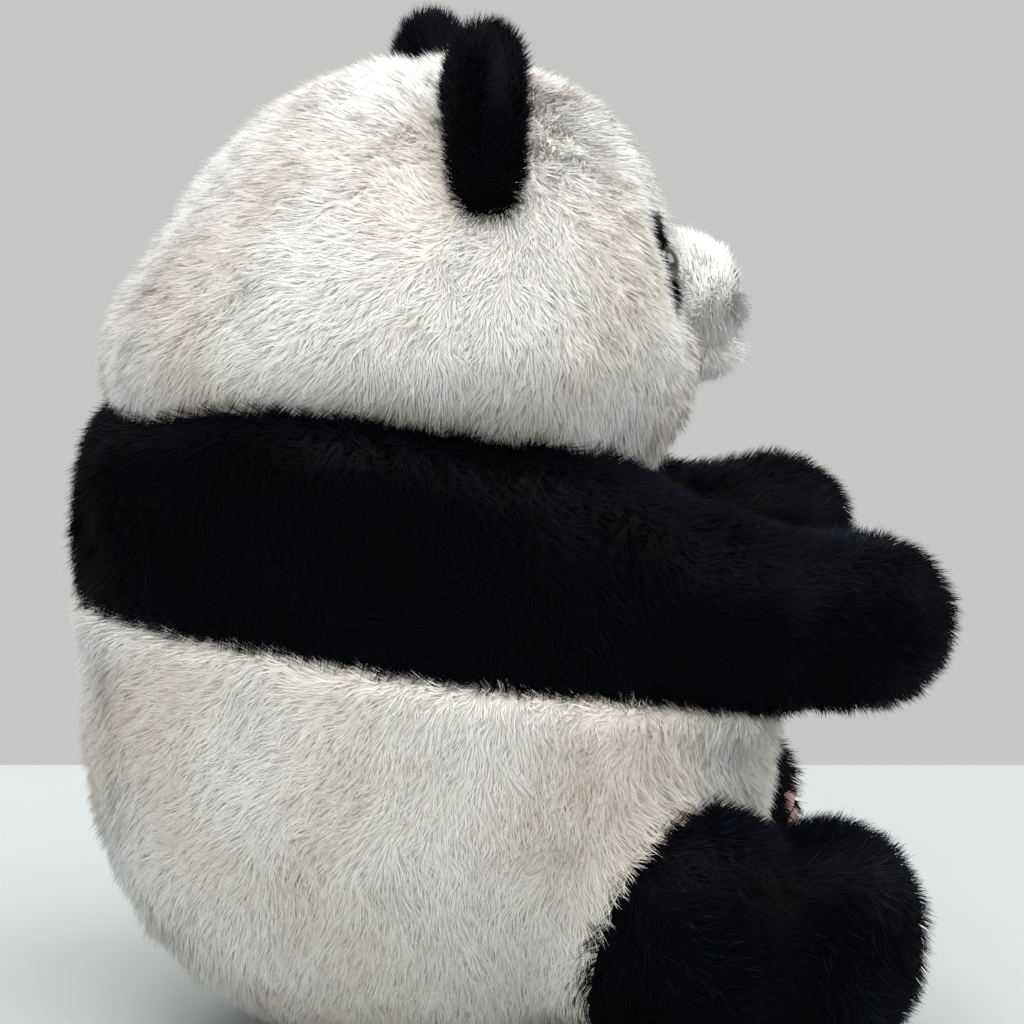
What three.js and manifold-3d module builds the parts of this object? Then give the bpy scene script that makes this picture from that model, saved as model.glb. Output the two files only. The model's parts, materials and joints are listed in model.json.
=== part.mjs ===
// A seated plush panda: sewn plush covers over fibre stuffing, with a bag of pellets in the seat.
// Millimetres, +Z up. It sits on z = 0 and faces -Y, so its left side is +X.
import * as THREE from 'three';
import { mergeVertices } from 'three/addons/utils/BufferGeometryUtils.js';
import Module from 'manifold-3d';

const wasm = await Module();
wasm.setup();

// Driving sizes
const plush = 5;              // plush fabric, backing and pile together
const seam = 0.4;             // gap that sewn neighbours and a cover's filling keep
const jointGap = 3;           // room between two stuffed forms that move against each other

const torso = {
  halfWidth: 126, halfDepth: 121, halfHeight: 120, // round belly
  centreY: 26, centreZ: 115,
  squareness: 2.4,            // 2 is an ellipse, more is boxier
  setBack: 50,                // how far the shoulders lean back at the very top
  broad: 0.75,                // how much wider the very top is than an ellipsoid's
};
const band = {
  front: -53,                 // where the heights of its two seams are given
  waist: 124, waistSlope: 0.19,      // seam to the white body: its height there, and its rise to the back
  overArm: 11.5, neckSlope: 0.16,    // seam to the head: how far over the arms, and its rise to the back
};
const bellySeamY = -48;       // how far back the belly panel reaches between the legs
const seatHeight = 8;         // the seat panel turns up this far
const pelletBag = { halfWidth: 58, halfDepth: 56, halfHeight: 15 };

const head = {
  radius: 96.5, halfWidth: 114,
  back: 123.5,                // how far back its own back reaches
  seat: 93.5,                 // radius of the seat in the shoulders that it rests in
};
const faceSeamBehind = 4;     // the seam between face and back of the head, behind the head's middle
const neckOpening = 42;       // radius of the hole that joins the head's stuffing to the body's

const ear = { radius: 37, halfThickness: 14, x: 66, ahead: 7.5, sink: 7, gap: 5.5 };

const muzzle = { halfWidth: 31, halfDepth: 30, halfHeight: 26, sink: 17, above: 8 };
const chin = { halfWidth: 22, halfDepth: 24.5, halfHeight: 10, ahead: 5, below: 17 };
const muzzlePlush = 3.5;      // shorter plush on the muzzle
const nose = { halfWidth: 9, halfDepth: 5, halfHeight: 6.5, above: 7, postRadius: 2, postLength: 9 };

const eyePatch = { halfWidth: 13, halfHeight: 19, thickness: 3, x: 37, above: 21, tilt: 20 };
const eye = { radius: 5.5, postRadius: 1.8, postLength: 13, x: 36, above: 23 };
const washer = { radius: 8, thickness: 1.6 };

const arm = { radius: 33.5, x: 75, sink: 33, aboveWaist: 26, reach: 77.5 };
const leg = { radius: 48, halfWidth: 44, x: 90, sink: 53, floorGap: 0.5 };
const foot = { halfWidth: 36, halfDepth: 37, halfHeight: 42, inward: 6, ahead: 50, floorGap: 3 };
const sole = { setBack: 17, turnIn: 14 };      // the sole's seam lies this far behind the toes
const solePad = { halfWidth: 14, halfHeight: 11, drop: 8, thickness: 1.6 };
const toePad = { radius: 5, ring: 19, spread: 34, count: 3 };
const padCutter = { ahead: 30, length: 60 };   // the block that cuts a pad's outline reaches through the sole

const openingShare = { arm: 0.55, leg: 0.5 };  // an opening's radius as a share of the limb's own
const openingDepth = { head: 200, arm: 60, leg: 80 }; // how far the cutters for the openings reach in
const beyondAll = 800;        // longer than the whole toy
const pastPile = 9;           // a post's hole runs this far out of the face

const armRange = [-18, 60];   // degrees that an arm lowers and rises
const legRange = [-12, 30];

// Finishes
const finishes = {
  whitePlush: { color: 0xece6da, roughness: 0.95, metalness: 0 },
  blackPlush: { color: 0x0c0d12, roughness: 0.95, metalness: 0 },
  blackPlastic: { color: 0x08080a, roughness: 0.15, metalness: 0 },
  padFelt: { color: 0xb98a86, roughness: 0.9, metalness: 0 },
  stuffing: { color: 0xf6f5f0, roughness: 1, metalness: 0 },
  bagCloth: { color: 0xd9d4c6, roughness: 0.9, metalness: 0 },
  washerPlastic: { color: 0xe4e4e0, roughness: 0.5, metalness: 0 },
};

// ---- Solids ----

const panda = new THREE.Group();
const V = (x, y, z) => new THREE.Vector3(x, y, z);
const curved = (value, squareness) => Math.sign(value) * Math.abs(value) ** (2 / squareness);

// A closed geometry as a solid that can be joined and cut
function solidOf(geometry) {
  const bare = geometry.index ? geometry.toNonIndexed() : geometry.clone();
  bare.deleteAttribute('normal');
  bare.deleteAttribute('uv');
  const merged = mergeVertices(bare, 1e-4);
  return new wasm.Manifold(new wasm.Mesh({
    numProp: 3,
    vertProperties: new Float32Array(merged.attributes.position.array),
    triVerts: new Uint32Array(merged.index.array),
  }));
}

// A solid as a named mesh of the panda
function add(name, finish, solid) {
  const { vertProperties, triVerts } = solid.getMesh();
  const geometry = new THREE.BufferGeometry();
  geometry.setAttribute('position', new THREE.BufferAttribute(new Float32Array(vertProperties), 3));
  geometry.setIndex(new THREE.BufferAttribute(new Uint32Array(triVerts), 1));
  geometry.computeVertexNormals();
  const mesh = new THREE.Mesh(geometry, new THREE.MeshStandardMaterial(finishes[finish]));
  mesh.name = name;
  panda.add(mesh);
}

// A stuffed round form: a superellipsoid with its poles on the given axis, leaning back and broader near
// its top
function cushion({ half, centre, squareness = 2, lean = 0, broad = 0, poles = 'z', sides = 22, rings = 12 }) {
  const geometry = new THREE.SphereGeometry(1, sides, rings);
  const place = geometry.attributes.position;
  for (let i = 0; i < place.count; i += 1) {
    const across = Math.hypot(place.getX(i), place.getZ(i));
    const fuller = across > 1e-6 ? curved(across, squareness) / across : 0;
    place.setXYZ(i, place.getX(i) * fuller, curved(place.getY(i), squareness), place.getZ(i) * fuller);
  }
  if (poles === 'z') geometry.rotateX(Math.PI / 2);
  if (poles === 'x') geometry.rotateZ(Math.PI / 2);
  geometry.scale(half.x, half.y, half.z);
  for (let i = 0; i < place.count; i += 1) {
    const rise = Math.max(0, place.getZ(i) / half.z);
    place.setX(i, place.getX(i) * (1 + broad * rise ** 4));
    place.setY(i, place.getY(i) + lean * rise * rise);
  }
  geometry.translate(centre.x, centre.y, centre.z);
  return solidOf(geometry);
}

// A big block whose face passes through a point, on the side that the direction points to
function halfSpace(through, direction) {
  const geometry = new THREE.BoxGeometry(beyondAll, beyondAll, beyondAll).translate(0, 0, beyondAll / 2);
  const turn = new THREE.Quaternion().setFromUnitVectors(V(0, 0, 1), direction.clone().normalize());
  return solidOf(geometry.applyQuaternion(turn).translate(through.x, through.y, through.z));
}

// A turned piece with its axis along a direction, from a profile of [radius, height] points
function turned(profile, at, direction, sides = 16) {
  const points = profile.map(([radius, height]) => new THREE.Vector2(radius, height));
  const turn = new THREE.Quaternion().setFromUnitVectors(V(0, 1, 0), direction.clone().normalize());
  const geometry = new THREE.LatheGeometry(points, sides).applyQuaternion(turn);
  return solidOf(geometry.translate(at.x, at.y, at.z));
}

// A round cutter that starts at a point and runs back from it, against the direction
const openingOf = (radius, depth, at, direction, sides) => turned(
  [[0, -depth], [radius, -depth], [radius, 0], [0, 0]], at, direction, sides,
);

// A prism with an oval section, its axis along -Y
function ovalPrism(halfWidth, halfHeight, at, tiltDegrees, length, sides = 20) {
  const geometry = new THREE.CylinderGeometry(1, 1, length, sides);
  geometry.scale(halfWidth, 1, halfHeight).rotateY(THREE.MathUtils.degToRad(tiltDegrees));
  return solidOf(geometry.translate(at.x, at.y, at.z));
}

const turnedAbout = (solid, pivot, degrees) => solid
  .translate([-pivot.x, -pivot.y, -pivot.z]).rotate([degrees, 0, 0]).translate([pivot.x, pivot.y, pivot.z]);

const sides = [['left', 1], ['right', -1]];

// ---- Forms, each grown or shrunk by a margin ----

const torsoForm = (margin) => cushion({
  half: V(torso.halfWidth + margin, torso.halfDepth + margin, torso.halfHeight + margin),
  centre: V(0, torso.centreY, torso.centreZ),
  squareness: torso.squareness,
  lean: torso.setBack,
  broad: torso.broad,
  sides: 24, rings: 12,
}).intersect(halfSpace(V(0, 0, -margin), V(0, 0, 1)));

// The head rests in a round seat, whose rim lies on the neck seam
const headY = head.back - head.radius;
const armHeight = band.waist + arm.aboveWaist;
const neckFront = V(0, band.front, armHeight + arm.radius + band.overArm);
const neckHeight = neckFront.z + band.neckSlope * (headY - band.front);
const headCentre = V(0, headY, neckHeight + Math.sqrt((head.radius + jointGap) ** 2 - head.seat ** 2));
const headForm = (margin) => cushion({
  half: V(head.halfWidth + margin, head.radius + margin, head.radius + margin),
  centre: headCentre,
  poles: 'x',
});

const bellyFront = torso.centreY - torso.halfDepth;
const shoulder = (side) => V(side * arm.x, bellyFront + arm.sink, armHeight);
function armForm(side, margin) {
  const length = arm.reach - arm.radius;
  const geometry = new THREE.CapsuleGeometry(arm.radius + margin, length, 4, 14);
  const middle = shoulder(side);
  return solidOf(geometry.translate(middle.x, middle.y - length / 2, middle.z));
}

const hip = (side) => V(side * leg.x, bellyFront + leg.sink, leg.radius + leg.floorGap);
const ankle = (side) => V(
  side * (leg.x - foot.inward), hip(side).y - foot.ahead, foot.halfHeight + foot.floorGap,
);
const thighForm = (side, margin) => cushion({
  half: V(leg.halfWidth + margin, leg.radius + margin, leg.radius + margin),
  centre: hip(side), poles: 'x', sides: 16, rings: 8,
});
const footForm = (side, margin) => cushion({
  half: V(foot.halfWidth + margin, foot.halfDepth + margin, foot.halfHeight + margin),
  centre: ankle(side), sides: 14, rings: 8,
});
const legForm = (side, margin) => thighForm(side, margin).add(footForm(side, margin));

// The height of the top of the head, and how far forward its front is, at a place on it
const headShare = (x) => head.radius ** 2 * (1 - (x / head.halfWidth) ** 2);
const headTop = (x, y) => headCentre.z + Math.sqrt(headShare(x) - (y - headCentre.y) ** 2);
const headFront = (x, z) => headCentre.y - Math.sqrt(headShare(x) - (z - headCentre.z) ** 2);

const earY = headCentre.y - ear.ahead;
const earRoot = (side) => V(side * ear.x, earY, headTop(ear.x, earY) - ear.sink);
const earForm = (side, margin) => cushion({
  half: V(ear.radius + margin, ear.halfThickness + margin, ear.radius + margin),
  centre: earRoot(side), sides: 14, rings: 8,
});

const muzzleZ = headCentre.z + muzzle.above;
const muzzleAt = V(0, headFront(0, muzzleZ) + muzzle.sink, muzzleZ);
const muzzleForm = (margin) => cushion({
  half: V(muzzle.halfWidth + margin, muzzle.halfDepth + margin, muzzle.halfHeight + margin),
  centre: muzzleAt, sides: 16, rings: 8,
});

// A point on the front of the head, and the direction straight out of the head there
function onHead(x, z) {
  const at = V(x, headFront(x, z), z);
  const out = at.clone().sub(headCentre).divide(V(head.halfWidth ** 2, head.radius ** 2, head.radius ** 2));
  return { at, out: out.normalize() };
}

// ---- Torso ----

// Room for a limb that turns about the X axis through its joint: a socket for its round root, and the path of
// what stands out from it at the ends and the middle of its range
function roomFor(root, outer, pivot, [lowest, highest]) {
  let room = root;
  for (const angle of [lowest, 0, highest]) room = room.add(turnedAbout(outer, pivot, -angle));
  return room;
}
const armRoom = (side) => roomFor(
  cushion({
    half: V(1, 1, 1).multiplyScalar(arm.radius + jointGap), centre: shoulder(side),
    poles: 'x', sides: 18, rings: 10,
  }),
  turned([[0, 0], [arm.radius + jointGap, 0], [arm.radius + jointGap, arm.reach], [0, arm.reach]],
    shoulder(side), V(0, -1, 0), 12),
  shoulder(side), armRange,
);
const legRoom = (side) => roomFor(thighForm(side, jointGap), footForm(side, jointGap), hip(side), legRange);
const bowl = headForm(jointGap);
const neckCut = halfSpace(neckFront, V(0, -band.neckSlope, 1));
const rooms = [neckCut, bowl, armRoom(1), armRoom(-1), legRoom(1), legRoom(-1)];
const cutEach = (solid, cuts) => cuts.reduce((left, cut) => left.subtract(cut), solid);
const limbless = (solid) => cutEach(solid, rooms);

const torsoCover = limbless(torsoForm(0).subtract(torsoForm(-plush)));
const waist = (margin, up) => halfSpace(
  V(0, band.front, band.waist + up * margin), V(0, -band.waistSlope, 1).multiplyScalar(up),
);
// The belly panel's side seams run up through the middles of the arms
const bellyBlock = (margin) => halfSpace(V(0, bellySeamY + margin, 0), V(0, -1, 0))
  .intersect(halfSpace(V(arm.x + margin, 0, 0), V(-1, 0, 0)))
  .intersect(halfSpace(V(-arm.x - margin, 0, 0), V(1, 0, 0)));
const aboveSeat = halfSpace(V(0, 0, seatHeight + seam / 2), V(0, 0, 1));
const seatSlab = halfSpace(V(0, 0, seatHeight - seam / 2), V(0, 0, -1));

for (const [name, side] of sides) {
  const half = halfSpace(V(side * seam / 2, 0, 0), V(side, 0, 0));
  add(`shoulder_band_${name}`, 'blackPlush', torsoCover.intersect(waist(seam / 2, 1)).intersect(half));
}
const whiteCover = torsoCover.intersect(waist(seam / 2, -1));
add('lower_body_cover', 'whitePlush', whiteCover.subtract(bellyBlock(seam / 2)).intersect(aboveSeat));
add('belly_panel', 'whitePlush', whiteCover.intersect(bellyBlock(-seam / 2)).intersect(aboveSeat));
add('seat_panel', 'whitePlush', whiteCover.intersect(seatSlab));

const bagForm = (margin) => cushion({
  half: V(pelletBag.halfWidth + margin, pelletBag.halfDepth + margin, pelletBag.halfHeight + margin),
  centre: V(0, torso.centreY, plush + seam + pelletBag.halfHeight), sides: 20, rings: 8,
});
add('pellet_bag', 'bagCloth', bagForm(0));
add('torso_stuffing', 'stuffing', limbless(torsoForm(-plush - seam)).subtract(bagForm(seam)));

// ---- Head ----

const neckHole = openingOf(neckOpening, openingDepth.head, headCentre, V(0, 0, 1), 20);
const faceSeam = headCentre.y + faceSeamBehind;
const headCover = headForm(0).subtract(headForm(-plush)).subtract(neckHole);
const eyeSpots = sides.map(([name, side]) => (
  { name, side, ...onHead(side * eye.x, headCentre.z + eye.above) }
));
const eyeHoles = eyeSpots.map(({ at, out }) => turned(
  [[0, -eye.postLength - 2], [washer.radius + seam, -eye.postLength - 2], [washer.radius + seam, -plush],
    [eye.postRadius + seam, -plush], [eye.postRadius + seam, pastPile], [0, pastPile]], at, out,
));
const noseAt = muzzleAt.clone().add(
  V(0, -muzzle.halfDepth * Math.sqrt(1 - (nose.above / muzzle.halfHeight) ** 2), nose.above),
);

add('head_back_cover', 'whitePlush',
  headCover.intersect(halfSpace(V(0, faceSeam + seam / 2, 0), V(0, 1, 0))));
add('face_cover', 'whitePlush',
  cutEach(headCover.intersect(halfSpace(V(0, faceSeam - seam / 2, 0), V(0, -1, 0))), eyeHoles));
add('head_stuffing', 'stuffing', cutEach(headForm(-plush - seam), eyeHoles));

// Eyes: a domed button on a post, through its patch and the face, with a washer behind
for (const [index, { name, side, at, out }] of eyeSpots.entries()) {
  const tilt = side * eyePatch.tilt;
  const prism = ovalPrism(eyePatch.halfWidth, eyePatch.halfHeight,
    V(side * eyePatch.x, headCentre.y - head.radius, headCentre.z + eyePatch.above), tilt, head.radius);
  const patch = headForm(seam + eyePatch.thickness).subtract(headForm(seam)).intersect(prism)
    .subtract(muzzleForm(seam));
  const proud = eyePatch.thickness + 2 * seam;
  add(`eye_patch_${name}`, 'blackPlush', patch.subtract(eyeHoles[index]));
  add(`eye_${name}`, 'blackPlastic', turned(
    [[0, -eye.postLength], [eye.postRadius, -eye.postLength], [eye.postRadius, proud], [eye.radius, proud],
      [eye.radius, proud + 1], [eye.radius * 0.8, proud + 3], [eye.radius * 0.45, proud + 4.2],
      [0, proud + 4.6]],
    at, out));
  add(`eye_washer_${name}`, 'washerPlastic', turned(
    [[eye.postRadius + seam, -plush - seam - washer.thickness],
      [washer.radius, -plush - seam - washer.thickness],
      [washer.radius, -plush - seam], [eye.postRadius + seam, -plush - seam],
      [eye.postRadius + seam, -plush - seam - washer.thickness]], at, out));
}

// Muzzle, chin and nose
const nosePost = turned([[0, -nose.postLength - 1], [nose.postRadius + seam, -nose.postLength - 1],
  [nose.postRadius + seam, 4], [0, 4]], noseAt, V(0, -1, 0), 12);
const offFace = (solid) => solid.subtract(headForm(seam));
const muzzleCover = offFace(muzzleForm(0).subtract(muzzleForm(-muzzlePlush))).subtract(nosePost);
add('muzzle_cover', 'whitePlush', muzzleCover);
add('muzzle_stuffing', 'stuffing', offFace(muzzleForm(-muzzlePlush - seam)).subtract(nosePost));
add('chin_pad', 'whitePlush', offFace(cushion({
  half: V(chin.halfWidth, chin.halfDepth, chin.halfHeight),
  centre: muzzleAt.clone().add(V(0, -chin.ahead, -chin.below)), sides: 16, rings: 8,
}).subtract(muzzleForm(seam))));
const noseBead = cushion({
  half: V(nose.halfWidth, nose.halfDepth, nose.halfHeight), centre: noseAt, sides: 16, rings: 8,
}).subtract(muzzleForm(seam));
const noseStem = turned(
  [[0, -nose.postLength], [nose.postRadius, -nose.postLength], [nose.postRadius, 3], [0, 3]],
  noseAt, V(0, -1, 0), 12,
);
add('nose', 'blackPlastic', noseBead.add(noseStem));

// ---- Ears ----

for (const [name, side] of sides) {
  const root = headForm(ear.gap);
  add(`ear_${name}_cover`, 'blackPlush', earForm(side, 0).subtract(earForm(side, -plush)).subtract(root));
  add(`ear_${name}_wadding`, 'stuffing', earForm(side, -plush - seam).subtract(root));
}

// ---- Arms ----

const armOpening = arm.radius * openingShare.arm; // the armhole, where the band's stuffing meets the arm's
for (const [name, side] of sides) {
  const opening = openingOf(armOpening, openingDepth.arm, shoulder(side), V(0, -1, 0), 14);
  add(`arm_${name}_cover`, 'blackPlush', armForm(side, 0).subtract(armForm(side, -plush)).subtract(opening));
  add(`arm_${name}_stuffing`, 'stuffing', armForm(side, -plush - seam));
}

// ---- Legs and feet ----

const legOpening = leg.radius * openingShare.leg;
for (const [name, side] of sides) {
  const turnIn = THREE.MathUtils.degToRad(sole.turnIn) * side;
  const ahead = V(-Math.sin(turnIn), -Math.cos(turnIn), 0);
  const solePlane = (margin) => ankle(side).addScaledVector(ahead, foot.halfDepth - sole.setBack + margin);
  const opening = openingOf(legOpening, openingDepth.leg, hip(side), V(0, -1, 0), 14);
  const cover = legForm(side, 0).subtract(legForm(side, -plush)).subtract(opening);
  add(`leg_${name}_cover`, 'blackPlush', cover.subtract(halfSpace(solePlane(-seam / 2), ahead)));
  add(`sole_${name}`, 'blackPlush', cover.intersect(halfSpace(solePlane(seam / 2), ahead)));
  add(`leg_${name}_stuffing`, 'stuffing', legForm(side, -plush - seam));

  const padSkin = footForm(side, seam + solePad.thickness).subtract(footForm(side, seam));
  const across = V(Math.cos(turnIn), -Math.sin(turnIn), 0);
  const padAt = (right, up) => ankle(side).addScaledVector(across, right).add(V(0, 0, up));
  const padOf = (halfWidth, halfHeight, at) => padSkin.intersect(
    ovalPrism(halfWidth, halfHeight, at.addScaledVector(ahead, padCutter.ahead), 0, padCutter.length, 14),
  );
  add(`sole_pad_${name}`, 'padFelt', padOf(solePad.halfWidth, solePad.halfHeight, padAt(0, -solePad.drop)));
  for (let toe = 0; toe < toePad.count; toe += 1) {
    const angle = THREE.MathUtils.degToRad((toe - (toePad.count - 1) / 2) * toePad.spread);
    const at = padAt(toePad.ring * Math.sin(angle), toePad.ring * Math.cos(angle) - solePad.drop);
    add(`toe_pad_${name}_${toe + 1}`, 'padFelt', padOf(toePad.radius, toePad.radius, at));
  }
}

// The origin is at the middle of the whole panda's footprint
const whole = new THREE.Box3().setFromObject(panda);
panda.position.set(-(whole.min.x + whole.max.x) / 2, -(whole.min.y + whole.max.y) / 2, -whole.min.z);

export default panda;
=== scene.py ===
# %% [markdown]
# # A seated plush panda
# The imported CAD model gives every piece's place and size. Here each soft part gets its real look: a
# stuffed skin with its seams, and over it a coat of short pile, strand by strand.

# %% Load the frame
import json
import bpy
import numpy as np
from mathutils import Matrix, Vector


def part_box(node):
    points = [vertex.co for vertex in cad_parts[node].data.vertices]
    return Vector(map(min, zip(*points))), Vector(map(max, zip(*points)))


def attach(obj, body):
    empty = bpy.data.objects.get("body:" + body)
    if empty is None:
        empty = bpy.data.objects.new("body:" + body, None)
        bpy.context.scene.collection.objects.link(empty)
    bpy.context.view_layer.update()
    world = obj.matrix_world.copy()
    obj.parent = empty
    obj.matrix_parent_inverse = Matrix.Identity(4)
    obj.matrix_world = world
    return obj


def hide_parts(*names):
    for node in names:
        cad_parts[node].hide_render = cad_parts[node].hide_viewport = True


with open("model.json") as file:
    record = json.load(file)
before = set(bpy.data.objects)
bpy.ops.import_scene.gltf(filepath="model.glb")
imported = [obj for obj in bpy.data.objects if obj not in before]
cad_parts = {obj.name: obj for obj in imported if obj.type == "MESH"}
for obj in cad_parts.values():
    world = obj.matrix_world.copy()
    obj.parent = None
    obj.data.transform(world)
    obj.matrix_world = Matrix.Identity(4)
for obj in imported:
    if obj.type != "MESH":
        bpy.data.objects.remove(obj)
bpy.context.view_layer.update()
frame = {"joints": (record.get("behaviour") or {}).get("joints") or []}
MM = 0.001

# %% [markdown]
# ## Camera
# A long lens from the panda's right side, slightly behind it and slightly above, as when a toy on a
# table is pictured from a step away.

# %% Camera
TARGET = np.array([0.0, -0.0048, 0.177])
AZIMUTH, ELEVATION, DISTANCE = np.radians(261.5), np.radians(8.2), 1.4
level = np.array([np.sin(AZIMUTH), -np.cos(AZIMUTH), 0])
away = level * np.cos(ELEVATION) + np.array([0, 0, np.sin(ELEVATION)])
camera_data = bpy.data.cameras.new("Camera")
camera_data.sensor_width, camera_data.lens = 36.0, 143.7
camera = bpy.data.objects.new("Camera", camera_data)
bpy.context.scene.collection.objects.link(camera)
camera.location = TARGET + DISTANCE * away
camera.rotation_mode = "QUATERNION"
camera.rotation_quaternion = Vector(-away).to_track_quat("-Z", "Y")
bpy.context.scene.camera = camera
bpy.context.scene.view_settings.view_transform = "Standard"
bpy.context.scene.cycles.diffuse_bounces = 7
print("camera", round(DISTANCE, 2), "m away")

# %% [markdown]
# ## Places from the frame
# The middle and the half size of a few nodes together are all that a stuffed form needs. The joints
# give the points that the limbs turn about.

# %% Places
def span(*nodes):
    """The lowest and highest corner of several nodes together."""
    boxes = [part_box(n) for n in nodes]
    return np.min([b[0] for b in boxes], axis=0), np.max([b[1] for b in boxes], axis=0)


def middle_and_half(*nodes):
    """The middle of those nodes' box, and half its size."""
    low, high = span(*nodes)
    return (low + high) / 2, (high - low) / 2


PIVOT = {j["name"]: np.array(j["pos_m"]) for j in frame["joints"]}
head_mid, head_half = middle_and_half("head_back_cover", "face_cover")
body_low, body_high = span("lower_body_cover", "belly_panel", "seat_panel", "shoulder_band_left",
                           "shoulder_band_right")
muzzle_half = np.array([31, 30, 26]) * MM
muzzle_low, muzzle_high = span("muzzle_cover")
muzzle_mid = np.array([0, muzzle_low[1] + muzzle_half[1], muzzle_high[2] - muzzle_half[2]])
SIDES = (("left", 1), ("right", -1))
print("head", np.round(head_mid, 4), np.round(head_half, 4))

# %% [markdown]
# ## Stuffed forms as fields
# A field says how far a point lies outside a form: below zero is inside. Forms then join softly where
# stuffing bulges round a root, and meet at a valley where two panels are sewn together. Every skin is
# where its field is zero. It lies a pile's depth under the CAD surface, because the pile stands on it.

# %% Fields
PILE = 5.0 * MM                           # how far the pile stands off the backing
FLOOR = np.array([0, 0, 1.5 * MM])        # the backing's height over the table where the toy sits flat
DOWN = [0, 0, -1]


def cushion(p, middle, half, squareness=2.0, lean=0.0, broad=0.0):
    """Distance outside a superellipsoid, along the ray from its middle: |p| (1 - 1/g), where
    g = ((x/a)^2 + (y/b)^2)^(n/2) + |z/c|^n, to the power 1/n. Above the middle y is first moved by
    lean (z/c)^2, and x divided by 1 + broad (z/c)^4."""
    q = p - middle
    rise = np.clip(q[..., 2] / half[2], 0, 1.2)
    q[..., 1] -= lean * rise ** 2
    q[..., 0] /= 1 + broad * rise ** 4
    s = q / half
    across = np.hypot(s[..., 0], s[..., 1])
    g = (across ** squareness + np.abs(s[..., 2]) ** squareness) ** (1 / squareness)
    return np.linalg.norm(q, axis=-1) * (1 - 1 / np.maximum(g, 1e-9))


def capsule(p, start, end, radius, tip=None):
    """Distance to the line from start to end, less a radius that runs from `radius` to `tip` along it."""
    along = end - start
    share = np.clip((p - start) @ along / (along @ along), 0, 1)
    here = radius + share * ((radius if tip is None else tip) - radius)
    return np.linalg.norm(p - start - share[..., None] * along, axis=-1) - here


def plane(p, point, normal):
    """Distance in front of a plane through a point."""
    n = np.asarray(normal, float)
    return (p - np.asarray(point)) @ (n / np.linalg.norm(n))


def join(a, b, k):
    """The lower of two fields, rounded over a width k: b + h (a - b) - k h (1 - h)."""
    h = np.clip(0.5 + 0.5 * (b - a) / k, 0, 1)
    return b + h * (a - b) - k * h * (1 - h)


def meet(a, b, k):
    """The higher of two fields, rounded over a width k."""
    return -join(-a, -b, k)


# %% The panda's forms
torso_mid, torso_half = np.array([0, body_high[1] - 121 * MM, 115 * MM]), np.array([126, 121, 120]) * MM
BELLY_SEAM_Y = torso_mid[1] - 79 * MM     # the belly panel's side seams start to fade in ahead of this
print("torso", np.round(torso_mid, 4), "half", torso_half)


def arm_line(side):
    """The arm's shoulder, the middle of its round tip and its radius. The left arm is a little higher."""
    shoulder = PIVOT["arm_left_raise" if side > 0 else "arm_right_raise"]
    low, high = span("arm_left_cover" if side > 0 else "arm_right_cover")
    radius = (high[2] - low[2]) / 2
    lift = (7 if side > 0 else -1) * MM
    return shoulder, np.array([shoulder[0] - side * 2 * MM, low[1] + radius, shoulder[2] + lift]), radius


def arm_field(side):
    """A capsule from shoulder to tip."""
    shoulder, tip, radius = arm_line(side)
    return lambda p: capsule(p, shoulder, tip, radius - PILE, radius - PILE - 1 * MM)


def leg_forms(side):
    """The thigh's and the foot's middle and half size."""
    name = "left" if side > 0 else "right"
    hip = PIVOT[f"leg_{name}_raise"]
    low, high = span(f"leg_{name}_cover", f"sole_{name}")
    foot_half = np.array([36, 37, 42]) * MM
    lifted = np.array([0, 5, 6]) * MM * (side > 0)
    foot = np.array([hip[0] - side * 6 * MM, low[1] + foot_half[1], 45 * MM]) + lifted
    return hip, np.array([44, 48, 48]) * MM, foot, foot_half


def leg_field(side):
    """A round thigh and an upright foot that meet in a crease."""
    hip, thigh_half, foot, foot_half = leg_forms(side)

    def field(p):
        thigh = cushion(p, hip + np.array([0, -3, 0]) * MM, thigh_half - np.array([0, 1, 0]) * MM - PILE)
        toe = cushion(p, foot, foot_half - PILE, 2.2)
        return meet(join(thigh, toe, 7 * MM), plane(p, FLOOR, DOWN), 4 * MM)
    return field


def bump(p, middle, size):
    """1 at its middle, fading as exp(-|(p - middle)/size|^2)."""
    return np.exp(-(((p - middle) / (np.array(size) * MM)) ** 2).sum(-1))


def head_field(p):
    """A wide ball that narrows towards the neck seam, with a fuller roll low at its back, a fuller
    forehead over a flatter face, and a shallow valley at the face seam."""
    low = np.clip((head_mid[2] - p[..., 2]) / (38 * MM), 0, 1)
    narrow = p / np.stack([1 - 0.14 * low ** 2 * (3 - 2 * low), 1 + 0 * low, 1 + 0 * low], -1)
    ball = cushion(narrow, head_mid, head_half - PILE)
    roll = cushion(narrow, head_mid + np.array([0, 22, -16]) * MM, np.array([106, 93, 50]) * MM - PILE)
    both = join(ball, roll, 40 * MM) + 3.5 * MM
    flat = 6 * bump(p, head_mid + np.array([0, -88, 30]) * MM, [60, 60, 27])
    both = both + (flat - 2.5 * bump(p, head_mid + np.array([0, -58, 72]) * MM, [70, 42, 36])) * MM
    seam = plane(p, head_mid + np.array([0, 4 * MM, 0]), [0, 1, 0])
    mirrored = np.abs(p) * [1, 0, 0] + p * [0, 1, 1]
    dent = 9 * MM * bump(mirrored, head_mid + np.array([42, -76, 11]) * MM, [17, 30, 31])
    return both + dent + 1.4 * MM * np.exp(-(seam / (5 * MM)) ** 2)


def muzzle_field(p):
    """The muzzle and the chin under it, with the mouth's valley between them."""
    upper = cushion(p, muzzle_mid + np.array([0, 0, 2 * MM]), muzzle_half * [1, 1, 0.93] - 4.5 * MM)
    chin = cushion(p, muzzle_mid + np.array([0, -4, -15]) * MM, np.array([23, 25, 13]) * MM - 4.5 * MM)
    return join(upper, chin, 4 * MM)


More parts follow.
